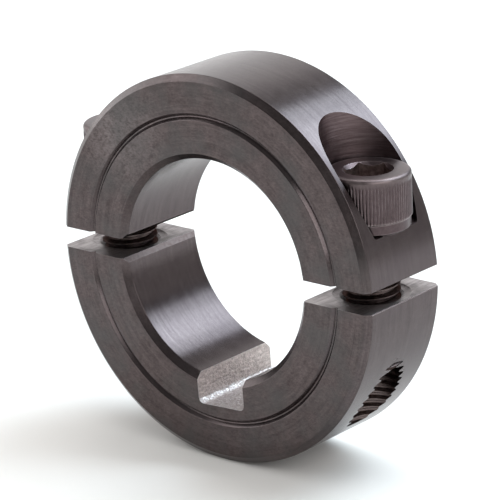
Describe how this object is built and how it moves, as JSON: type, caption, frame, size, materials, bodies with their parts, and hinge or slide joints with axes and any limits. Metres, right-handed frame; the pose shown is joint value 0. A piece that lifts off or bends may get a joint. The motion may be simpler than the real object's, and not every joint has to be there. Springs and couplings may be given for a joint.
{
  "type": "shaft collar",
  "caption": "Split clamp-on shaft collar with a keyway and a grooved face: half rings drawn together round a shaft by socket head cap screws.",
  "frame": {"origin": "centre of the bore, on its axis and halfway along the collar's width", "axes": "+Y along the bore, away from the grooved front face; +Z along the screws, towards their heads; +X to the right seen from the front"},
  "size_m": [0.0446, 0.0126, 0.0444],
  "materials": {
    "black_oxide_steel": "black oxide over fine turning, satin",
    "black_screw_steel": "black oxide, knurled head"
  },
  "bodies": {
    "lower": {"lower_half": "black_oxide_steel"},
    "upper": {"upper_half": "black_oxide_steel"},
    "screw_right": {"right_screw": "black_screw_steel"},
    "screw_left": {"left_screw": "black_screw_steel"}
  },
  "joints": [
    {"name": "clamp_slide", "type": "slide", "parent": "lower", "child": "upper", "axis": [0, 0, 1], "range_m": [-0.00205, 0.00795]},
    {"name": "right_screw_turn", "type": "hinge", "parent": "upper", "child": "screw_right", "pos_m": [0.0176, 0, 0.00675], "axis": [0, 0, 1], "range_deg": [-815, 3156]},
    {"name": "left_screw_turn", "type": "hinge", "parent": "upper", "child": "screw_left", "pos_m": [-0.0176, 0, 0.00675], "axis": [0, 0, 1], "range_deg": [-815, 3156]}
  ],
  "couplings": [
    {"joint": "right_screw_turn", "follows": "clamp_slide", "rad_per_m": 6926.3},
    {"joint": "left_screw_turn", "follows": "clamp_slide", "rad_per_m": 6926.3}
  ]
}
